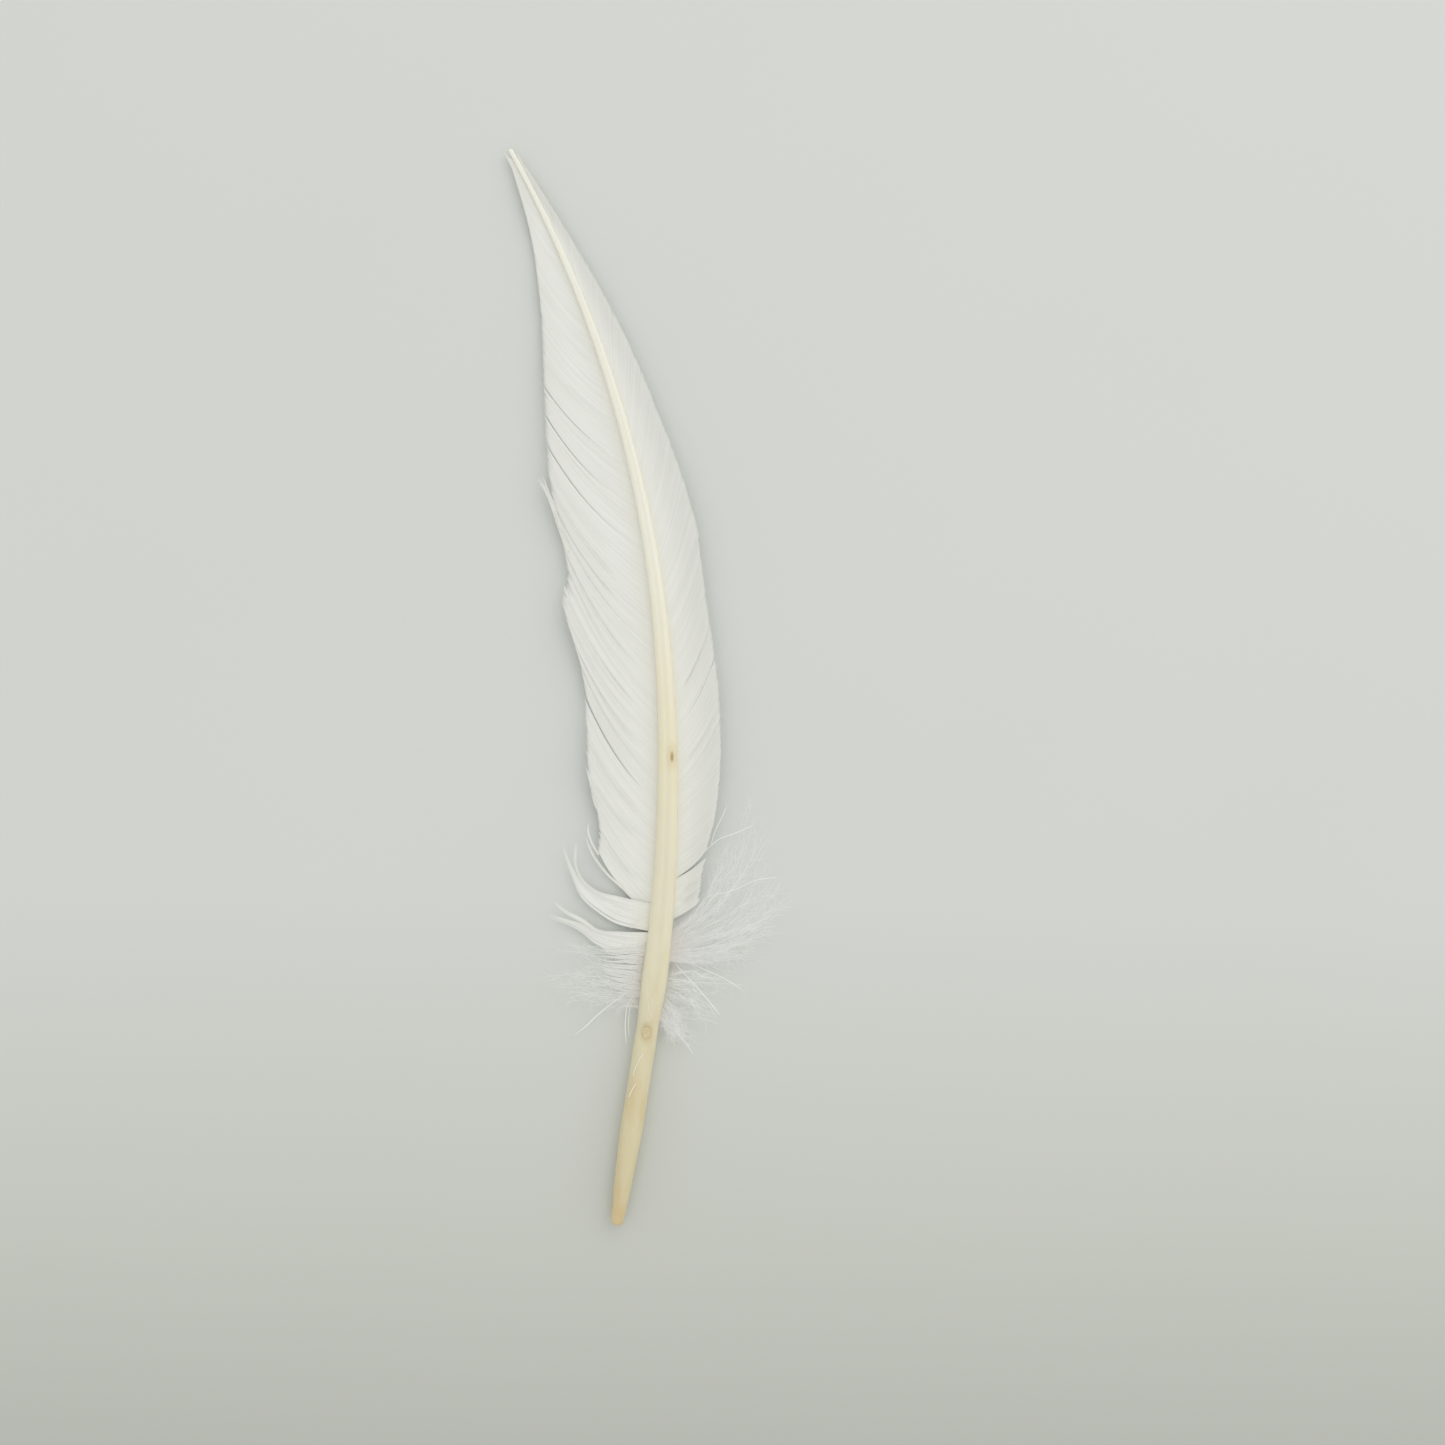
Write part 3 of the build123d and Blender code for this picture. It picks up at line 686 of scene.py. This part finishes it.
for side, webs, prefix, word, ripple in (
        (-1, wideWebs, "inner_web", "innerWeb", 0.12), (1, narrowWebs, "outer_web", "outerWeb", 0.06)):
    for number, (low, high, look) in enumerate(webs, start=1):
        barbs = max(6, round((high - low) * rachisLength / (vane["pitch"] * mm)))
        rows = max(14, barbs // 2)
        piece = growOn(f"{word}{number}", webGrid(side, low, high, look, rows), barbTree, {
            "Barbs": barbs, "Points": 20, "Overlap": 1.9, "Flatness": 0.10, "Fray": look.get("fray", 0.03),
            "Ripple": ripple * mm, "Stray": 0.02, "Seed": 100 * number + side, "Material": vaneWhite})
        place(piece, "vane_barbs", f"{prefix}_{number}")
print("vanes made")


# geometry nodes: down, a fan of limp barbs with fine barbules off each
stemClearance = 3.0  # the lowest a stem lies, in floor heights
dipGivenUp = 0.95  # share of its dip below the floor height that a hair gives up


def buildDownTree():
    tree, entry = startTree("growDown", "Down made", (
        ("Barbs", "Int", 40), ("Points", "Int", 24), ("Barb radius", "Float", 0.04 * mm),
        ("Barbules", "Int", 60), ("Barbule radius", "Float", 0.016 * mm),
        ("Barbule length", "Float", 3 * mm), ("Wander", "Float", 1 * mm), ("Shortest", "Float", 0.6),
        ("Lean", "Float", 0.8), ("Floor", "Float", 0.1 * mm), ("Seed", "Int", 1),
        ("Material", "Material", None)))
    strands, barb, v = startStrands(tree, entry)

    def random(low, high, salt, owner=barb):
        return randomFor(tree, entry, owner, low, high, salt)

    jitter = random(-0.5, 0.5, 3)
    u = calc(tree, "DIVIDE", calc(tree, "ADD", calc(tree, "ADD", barb, 0.5), jitter), entry["Barbs"])
    fan = calc(tree, "MULTIPLY", random(-0.26, 0.26, 5), calc(tree, "POWER", v, 1.5))
    uFan = calc(tree, "MINIMUM", calc(tree, "MAXIMUM", calc(tree, "ADD", u, fan), 0.001), 0.999)
    cut = calc(tree, "MULTIPLY", random(0.0, 1.0, 7), calc(tree, "SUBTRACT", 1.0, entry["Shortest"]))
    place2 = combine(tree, uFan, calc(tree, "MULTIPLY", v, calc(tree, "SUBTRACT", 1.0, cut)))
    onGuide = sampleGuide(tree, entry, pointPlace(tree), place2)
    # each barb wanders off its line as it goes
    wanderAt = combine(tree, calc(tree, "MULTIPLY", barb, 7.31), calc(tree, "MULTIPLY", v, 2.6),
                       entry["Seed"])
    noise = vectorCalc(tree, "SUBTRACT", noiseAt(tree, wanderAt, 1.0, 2.0, "Color"), (0.5, 0.5, 0.5))
    noise = vectorCalc(tree, "MULTIPLY", noise, (4.0, 4.0, 1.6))
    reachOut = calc(tree, "MULTIPLY", calc(tree, "POWER", v, 1.2), entry["Wander"])
    offset = vectorCalc(tree, "SCALE", noise, scale=reachOut)
    laid = addNode(tree, "GeometryNodeSetPosition", {
        "Geometry": strands, "Position": onGuide, "Offset": offset}).outputs[0]
    spot3 = separate(tree, pointPlace(tree))
    above = calc(tree, "MAXIMUM", spot3[2], calc(tree, "MULTIPLY", entry["Floor"], stemClearance))
    laid = addNode(tree, "GeometryNodeSetPosition", {
        "Geometry": laid, "Position": combine(tree, spot3[0], spot3[1], above)}).outputs[0]
    laid = keepOnPoints(tree, laid, "barbAlong", v)
    laid = keepOnPoints(tree, laid, "barbTone", random(0.0, 1.0, 9))
    factor = addNode(tree, "GeometryNodeSplineParameter").outputs["Factor"]
    thin = mapRange(tree, factor, 0.0, 1.0, 1.0, 0.35)
    ring = addNode(tree, "GeometryNodeCurvePrimitiveCircle",
                   {"Resolution": 4, "Radius": entry["Barb radius"]})
    stems = addNode(tree, "GeometryNodeCurveToMesh", {
        "Curve": laid, "Profile Curve": ring.outputs[0], "Scale": thin, "Fill Caps": True}).outputs[0]

    # barbules: short bent hairs, leaning forward off the barb to both sides
    spots = addNode(tree, "GeometryNodeCurveToPoints", {
        "Curve": laid, "Count": entry["Barbules"]}, mode="COUNT").outputs
    hairPath = addNode(tree, "GeometryNodeCurvePrimitiveBezierSegment", {
        "Resolution": 3, "Start": (0.0, 0.0, 0.0), "Start Handle": (0.0, 0.0, 0.35),
        "End Handle": (0.14, 0.0, 0.75), "End": (0.30, 0.0, 1.0)}).outputs[0]
    hairRadius = calc(tree, "DIVIDE", entry["Barbule radius"], entry["Barbule length"])
    hairRing = addNode(tree, "GeometryNodeCurvePrimitiveCircle",
                       {"Resolution": 3, "Radius": hairRadius}).outputs[0]
    hair = addNode(tree, "GeometryNodeCurveToMesh", {
        "Curve": hairPath, "Profile Curve": hairRing, "Scale": mapRange(tree, factor, 0.0, 1.0, 1.0, 0.4),
        "Fill Caps": True}).outputs[0]
    spot = addNode(tree, "GeometryNodeInputIndex").outputs[0]
    wild = addNode(tree, "FunctionNodeRandomValue", {
        "ID": spot, "Seed": entry["Seed"]}, data_type="FLOAT_VECTOR")
    wild.inputs[0].default_value, wild.inputs[1].default_value = (-1.0, -1.0, -0.28), (1.0, 1.0, 0.34)
    aim = vectorCalc(tree, "ADD", spots["Tangent"],
                     vectorCalc(tree, "SCALE", wild.outputs[0], scale=entry["Lean"]))
    aim3 = separate(tree, vectorCalc(tree, "NORMALIZE", aim))
    size = calc(tree, "MULTIPLY", entry["Barbule length"], random(0.5, 1.25, 13, spot))
    # a straight hair is aimed no lower than the floor
    height = separate(tree, pointPlace(tree))[2]
    room = calc(tree, "DIVIDE", calc(tree, "SUBTRACT", entry["Floor"], height), size)
    aim = combine(tree, aim3[0], aim3[1], calc(tree, "MAXIMUM", aim3[2], room))
    turned = addNode(tree, "FunctionNodeAlignRotationToVector", {"Vector": aim}, axis="Z").outputs[0]
    hairs = addNode(tree, "GeometryNodeInstanceOnPoints", {
        "Points": spots["Points"], "Instance": hair, "Rotation": turned, "Scale": size}).outputs[0]
    hairs = addNode(tree, "GeometryNodeRealizeInstances", {0: hairs}).outputs[0]
    # where its bend still takes it lower, it lies on the floor and keeps a little of its thickness
    height = separate(tree, pointPlace(tree))[2]
    dip = calc(tree, "MINIMUM", calc(tree, "SUBTRACT", height, entry["Floor"]), 0.0)
    hairs = addNode(tree, "GeometryNodeSetPosition", {
        "Geometry": hairs, "Offset": combine(tree, z=calc(tree, "MULTIPLY", dip, -dipGivenUp))}).outputs[0]
    joined = addNode(tree, "GeometryNodeJoinGeometry")
    for part in (stems, hairs):
        tree.links.new(part, joined.inputs[0])
    return finishTree(tree, entry, joined.outputs[0])


downTree = buildDownTree()


def fanGrid(paths, rows=12, columns=18):
    # a surface through a few strands, each given as root, turn and end in mm
    paths = np.array(paths, float) * mm
    knots = np.linspace(0, 1, len(paths))
    v = np.linspace(0, 1, columns)[:, None]
    grid = np.empty((rows, columns, 3))
    for i, u in enumerate(np.linspace(0, 1, rows)):
        root, turn, end = (
            np.array([np.interp(u, knots, paths[:, k, axis]) for axis in range(3)]) for k in range(3))
        grid[i] = root * (1 - v) ** 2 + 2 * v * (1 - v) * turn + end * v * v
    return grid


def flank(side, y, z):
    # mm, a place on the shaft's flank, set in a little
    return float(shaftX(y * mm) + side * (shaftHalf(y * mm) - 0.2 * mm)) / mm, y, z


downPieces = [
    # name, CAD node, settings, then strands from the lowest to the highest as (side, root y, root height),
    # turn and end
    ("outerDownUpper", "outer_down_upper",
     {"Barbs": 64, "Barbules": 66, "Wander": 0.0019, "Barbule length": 0.0042, "Shortest": 0.55}, 1, [
        (-65.5, 2.4, (12.0, -66.5, 2.4), (24.0, -64.0, 1.2)),
        (-64.0, 2.6, (16.0, -66.0, 2.8), (31.0, -57.0, 1.3)),
        (-62.5, 2.8, (20.0, -61.0, 3.0), (34.0, -48.0, 1.6)),
        (-60.5, 2.8, (20.0, -55.0, 3.0), (28.5, -34.0, 1.8)),
        (-58.0, 2.8, (17.0, -52.0, 2.8), (20.0, -23.5, 1.8))]),
    ("outerDownLower", "outer_down_lower",
     {"Barbs": 46, "Barbules": 54, "Wander": 0.0014, "Barbule length": 0.0030}, 1, [
        (-79.0, 2.6, (2.8, -82.0, 2.4), (4.2, -85.0, 1.0)),
        (-76.0, 2.6, (4.8, -80.0, 2.6), (10.0, -85.5, 1.0)),
        (-72.0, 2.6, (9.0, -74.0, 2.8), (16.0, -79.5, 1.2)),
        (-68.0, 2.6, (11.0, -67.0, 2.8), (21.5, -72.5, 1.4))]),
    ("innerDown", "inner_down",
     {"Barbs": 40, "Barbules": 46, "Wander": 0.0017, "Barbule length": 0.0034}, -1, [
        (-77.0, 2.2, (-9.0, -75.5, 2.4), (-17.5, -78.0, 1.0)),
        (-74.0, 2.2, (-13.0, -71.0, 2.6), (-25.0, -73.0, 1.0)),
        (-69.0, 2.2, (-14.0, -66.0, 2.6), (-28.5, -67.0, 1.2)),
        (-64.0, 2.2, (-12.0, -63.5, 2.6), (-23.0, -61.0, 1.3))]),
    ("innerBasalFluff", "inner_basal_web",
     {"Barbs": 40, "Barbules": 44, "Wander": 0.0006, "Barbule length": 0.0016, "Lean": 1.3}, -1, [
        (-74.0, 1.6, (-7.5, -73.0, 1.7), (-13.0, -72.5, 1.4)),
        (-68.0, 1.7, (-8.0, -67.0, 1.8), (-14.5, -67.0, 1.5)),
        (-61.0, 1.8, (-7.0, -61.0, 1.9), (-14.0, -62.5, 1.6))]),
]
downDefaults = {"Points": 24, "Barb radius": 0.032 * mm, "Barbule radius": 0.011 * mm, "Lean": 1.3,
                "Shortest": 0.45, "Floor": 0.12 * mm, "Material": downWhite}
for number, (name, node, settings, side, strands) in enumerate(downPieces):
    paths = [(flank(side, y, z), turn, end) for y, z, turn, end in strands]
    piece = growOn(name, fanGrid(paths), downTree, {**downDefaults, **settings, "Seed": 31 + number})
    place(piece, "down", node)

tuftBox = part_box("afterfeather")
tuftMiddle, tuftSpan = (tuftBox[0] + tuftBox[1]) / 2 / mm, (tuftBox[1] - tuftBox[0]) / mm
tuftPaths = [((tuftMiddle.x + offset * 0.3, tuftMiddle.y - 0.45 * tuftSpan.y, tuftBox[0].z / mm - 0.15),
              (tuftMiddle.x + offset * 0.8, tuftMiddle.y, tuftMiddle.z),
              (tuftMiddle.x + offset, tuftMiddle.y + 0.45 * tuftSpan.y, tuftMiddle.z - 0.1))
             for offset in (1.1, 0.0, -1.1)]
tuft = growOn("afterfeatherTuft", fanGrid(tuftPaths), downTree, {
    **downDefaults, "Barbs": 7, "Barbules": 16, "Wander": 0.0003, "Barbule length": 0.0009,
    "Barb radius": 0.02 * mm, "Barbule radius": 0.008 * mm, "Seed": 77})
place(tuft, "down", "afterfeather")
print("down grown")


# loose locks, hooked strays and single hairs
def ribbonGrid(lower, upper, columns=24, rows=8, belly=0.0):
    # a strip between two edge lines given as plan points with heights, root first, in mm
    def smooth(points):
        points = np.array(points, float) * mm
        lengths = np.append(0, np.cumsum(np.linalg.norm(np.diff(points, axis=0), axis=1)))
        fine = np.linspace(0, lengths[-1], columns)
        return np.stack([smoothThrough(lengths, points[:, axis])(fine) for axis in range(3)], axis=1)
    low, high = smooth(lower), smooth(upper)
    share = np.linspace(0, 1, rows)[:, None, None]
    grid = low * (1 - share) + high * share
    grid[:, :, 2] += belly * mm * (np.sin(math.pi * share[:, :, 0]) * np.linspace(0, 1, columns))
    return grid


lockPieces = [
    # name, CAD node, barbs, fray, lower edge, upper edge
    ("innerLockUpperNear", "inner_lock_upper", 9, 0.10,
     [flank(-1, -55.4, 1.5), (-8.6, -52.6, 1.6), (-13.4, -50.0, 1.9), (-17.4, -46.2, 2.5),
      (-19.0, -42.4, 3.0),
      (-18.9, -37.4, 3.3)],
     [flank(-1, -51.8, 1.5), (-8.7, -50.0, 1.7), (-13.7, -48.6, 2.0), (-16.8, -46.0, 2.5),
      (-18.3, -43.2, 3.0),
      (-18.2, -37.2, 3.4)]),
    ("innerLockUpperFar", "inner_lock_upper", 9, 0.16,
     [flank(-1, -58.3, 1.4), (-9.6, -56.2, 1.4), (-13.6, -53.6, 1.6), (-17.0, -50.6, 2.0),
      (-19.8, -44.6, 2.6),
      (-22.1, -37.6, 2.9)],
     [flank(-1, -55.2, 1.5), (-8.6, -52.5, 1.6), (-13.4, -49.8, 1.9), (-17.3, -46.4, 2.3),
      (-19.6, -42.8, 2.8),
      (-21.7, -37.3, 3.0)]),
    ("innerLockLowerNear", "inner_lock_lower", 8, 0.12,
     [flank(-1, -61.0, 1.6), (-8.4, -60.2, 1.6), (-14.0, -58.6, 1.7), (-17.6, -56.2, 1.9),
      (-21.0, -54.2, 2.2),
      (-24.2, -51.4, 2.6)],
     [flank(-1, -58.7, 1.6), (-8.0, -58.5, 1.7), (-13.4, -57.9, 1.8), (-17.2, -55.2, 2.0),
      (-20.6, -53.6, 2.3),
      (-23.9, -50.8, 2.7)]),
    ("innerLockLowerFar", "inner_lock_lower", 8, 0.25,
     [flank(-1, -64.0, 1.5), (-8.4, -63.6, 1.5), (-14.2, -61.2, 1.6), (-18.2, -58.0, 1.7),
      (-21.6, -56.4, 1.8),
      (-25.0, -55.2, 2.0)],
     [flank(-1, -60.8, 1.5), (-8.4, -60.0, 1.6), (-14.0, -58.4, 1.7), (-17.8, -56.4, 1.8),
      (-21.4, -55.4, 1.9),
      (-24.9, -54.4, 2.1)]),
]
for number, (name, node, barbs, fray, lower, upper) in enumerate(lockPieces):
    piece = growOn(name, ribbonGrid(lower, upper, belly=0.35), barbTree, {
        "Barbs": barbs, "Points": 26, "Overlap": 1.25, "Flatness": 0.2, "Fray": fray, "Ripple": 0.0003,
        "Stray": 0.25, "Seed": 500 + number, "Material": vaneWhite})
    place(piece, "vane_barbs", node)

basalWeb = growOn("innerBasalWeb", ribbonGrid(
    [(flank(-1, -74, 0.0)[0], -74.2, 1.5), (-6.5, -73.6, 1.5), (-9.5, -72.4, 1.5), (-12.6, -71.0, 1.4)],
    [(flank(-1, -60, 0.0)[0], -60.2, 1.6), (-6.2, -61.0, 1.6), (-10.0, -61.6, 1.7), (-13.6, -61.4, 1.6)],
    rows=12, belly=0.4), barbTree, {
        "Barbs": 30, "Points": 22, "Overlap": 0.85, "Flatness": 0.3, "Fray": 0.6, "Ripple": 0.0003,
        "Stray": 0.2, "Thinnest": 0.04 * mm, "Seed": 611, "Material": vaneWhite})
place(basalWeb, "down", "inner_basal_web")

strayLocks = [
    # barbs, width in mm, then the middle line, root first
    ("strayHook", 5, 0.9, [(-20.4, 32.5, 3.0), (-22.6, 38.6, 3.6), (-24.6, 44.6, 3.7), (-26.0, 48.0, 3.6),
                           (-27.0, 50.8, 3.5)]),
    ("strayHookFine", 2, 0.3,
     [(-22.4, 38.0, 3.6), (-24.4, 43.4, 3.6), (-26.0, 46.8, 3.5), (-27.9, 50.2, 3.3)]),
    ("strayCorner", 3, 0.5, [(-20.0, 18.2, 3.7), (-20.5, 20.2, 3.8), (-20.9, 22.2, 3.7)]),
    ("strayMarginUpper", 3, 0.35,
     [(-13.2, -28.2, 3.2), (-14.4, -24.8, 3.7), (-15.5, -21.6, 3.7), (-16.3, -18.2, 3.6)]),
    ("strayMarginLower", 3, 0.4,
     [(-13.2, -40.0, 2.6), (-14.8, -37.2, 2.8), (-15.6, -34.9, 2.8), (-15.8, -32.4, 2.8)]),
    ("strayMarginLong", 3, 0.5,
     [(-7.0, -48.6, 1.1), (-11.6, -44.2, 1.9), (-14.6, -40.0, 2.7), (-16.2, -35.6, 3.0)]),
    ("strayInLock", 2, 0.3, [(-5.6, -57.6, 1.7), (-4.4, -56.6, 2.4), (-3.7, -54.6, 3.2)]),
    ("hairLong", 2, 0.22, [(-5.8, -72.6, 1.6), (-8.4, -74.4, 1.4), (-13.0, -78.0, 1.2), (-17.0, -81.8, 0.9),
                           (-19.9, -84.0, 0.6)]),
    ("hairUpright", 2, 0.2, [(-4.8, -73.6, 1.6), (-6.2, -76.0, 1.4), (-6.9, -80.6, 1.0), (-6.6, -86.0, 0.6)]),
    ("hairUprightSecond", 1, 0.14,
     [(-4.6, -73.8, 1.6), (-5.7, -76.6, 1.4), (-6.1, -80.0, 1.0), (-6.0, -84.0, 0.6)]),
    ("hairRight", 2, 0.14, [(12.4, -39.0, 2.4), (15.4, -36.4, 2.4), (19.6, -34.8, 2.2), (24.9, -32.4, 1.9)]),
    ("hairRightSteep", 2, 0.13,
     [(13.6, -37.6, 2.4), (14.8, -34.0, 2.4), (16.4, -30.8, 2.2), (17.6, -27.8, 1.9)]),
    ("hairRightFlat", 2, 0.13,
     [(12.8, -50.0, 2.2), (18.8, -48.6, 2.4), (24.2, -46.2, 2.0), (29.6, -45.4, 1.6)]),
    ("hairLowRight", 2, 0.18, [(5.2, -66.2, 2.4), (9.6, -71.0, 2.2), (14.0, -76.2, 1.6), (17.0, -80.2, 1.1)]),
    ("hairLowRightFar", 2, 0.15,
     [(5.8, -64.6, 2.4), (12.0, -67.4, 2.2), (18.4, -70.6, 1.6), (23.0, -74.0, 1.1)]),
    ("hairOnBarrel", 1, 0.12,
     [(-4.9, -92.6, 5.1), (-4.2, -90.4, 5.55), (-3.1, -88.2, 5.6), (-2.0, -86.6, 5.3)]),
    ("hairOnBarrelLow", 1, 0.12, [(-5.9, -97.6, 5.2), (-5.0, -95.6, 5.6), (-4.1, -94.2, 5.6)]),
    ("hairDownRight", 2, 0.18, [(2.2, -77.0, 2.2), (3.8, -80.4, 1.8), (6.8, -84.0, 1.3), (9.6, -88.2, 0.8)]),
]
for number, (name, barbs, width, middle) in enumerate(strayLocks):
    path = np.array(middle, float)
    along = np.gradient(path[:, :2], axis=0)
    across = np.stack([-along[:, 1], along[:, 0], np.zeros(len(path))], axis=1)
    across *= width / 2 / np.linalg.norm(across, axis=1, keepdims=True)
    piece = growOn(name, ribbonGrid(path - across, path + across, rows=3), barbTree, {
        "Barbs": barbs, "Points": 22, "Overlap": 1.15, "Flatness": 0.6, "Fray": 0.2, "Ripple": 0.0003,
        "Stray": 0.4, "Thinnest": (0.02 if name.startswith("hair") else 0.045) * mm, "Seed": 700 + number,
        "Material": downWhite if name.startswith("hair") else vaneWhite})
    place(piece, "down" if name.startswith("hair") else "vane_barbs")
print("locks and strays laid")


# stage, light and camera
def addArea(name, spot, target, size, power, colour):
    light = bpy.data.lights.new(name, "AREA")
    light.shape, light.size, light.energy = "SQUARE", size, power
    light.color = toLinear(colour)[:3]
    lamp = bpy.data.objects.new(name, light)
    lamp.location = spot
    lamp.rotation_euler = (Vector(target) - Vector(spot)).to_track_quat("-Z", "Y").to_euler()
    bpy.context.scene.collection.objects.link(lamp)


studio = {
    "field": 0.3468,  # m, what the camera sees across the floor
    "centre": (0.0164, -0.0084),
    "lens": 70.0,  # mm
    "sensor": 36.0,
}


def makeFloor():
    material, tree = newMaterial("paleMattFloor")
    place3 = objectPlace(tree)
    # a pale board, with painted shade: a little greyer towards the near edge, where the light falls off
    across = mapRange(tree, separate(tree, place3)["Y"], -0.20, -0.05)
    colour = ramp(tree, across, [(0.0, "#BDBFB9"), (0.45, "#D0D2CC"), (1.0, "#DEE0DD")])
    cloud = calc(tree, "MULTIPLY", noiseAt(tree, place3, 9.0, 3.0), 0.1)
    colour = mixColour(tree, cloud, colour, toLinear("#E6E6E0"), "MULTIPLY")
    shader = addNode(tree, "ShaderNodeBsdfPrincipled", {"Base Color": colour, "Roughness": 0.6})
    addNode(tree, "ShaderNodeOutputMaterial", {"Surface": shader.outputs[0]})
    half, step = 1.5, 8
    verts = [(-half + 2 * half * i / step, -half + 2 * half * j / step, 0) for j in range(step + 1)
             for i in range(step + 1)]
    corners = [j * (step + 1) + i for j in range(step) for i in range(step)]
    faces = [(c, c + 1, c + step + 2, c + step + 1) for c in corners]
    mesh = bpy.data.meshes.new("floor")
    mesh.from_pydata(verts, [], faces)
    mesh.materials.append(material)
    floor = makeObject("floor", mesh)


makeFloor()
world = bpy.data.worlds.new("softRoom")
world.use_nodes = True
world.node_tree.nodes["Background"].inputs["Color"].default_value = toLinear("#F8F9F6")
world.node_tree.nodes["Background"].inputs["Strength"].default_value = 0.82
bpy.context.scene.world = world
addArea("bigWindow", (0.62, 0.85, 0.85), (0.05, 0.1, 0.0), 1.6, 4.6, "#FFFEFC")
bpy.context.scene.view_settings.view_transform = "Standard"

camera = bpy.data.objects.new("camera", bpy.data.cameras.new("camera"))
camera.data.lens = studio["lens"]
camera.data.sensor_width = studio["sensor"]
height = studio["field"] * studio["lens"] / studio["sensor"]
camera.location = (*studio["centre"], height)
camera.data.clip_start, camera.data.clip_end = 0.01, 20.0
bpy.context.scene.collection.objects.link(camera)
bpy.context.scene.camera = camera
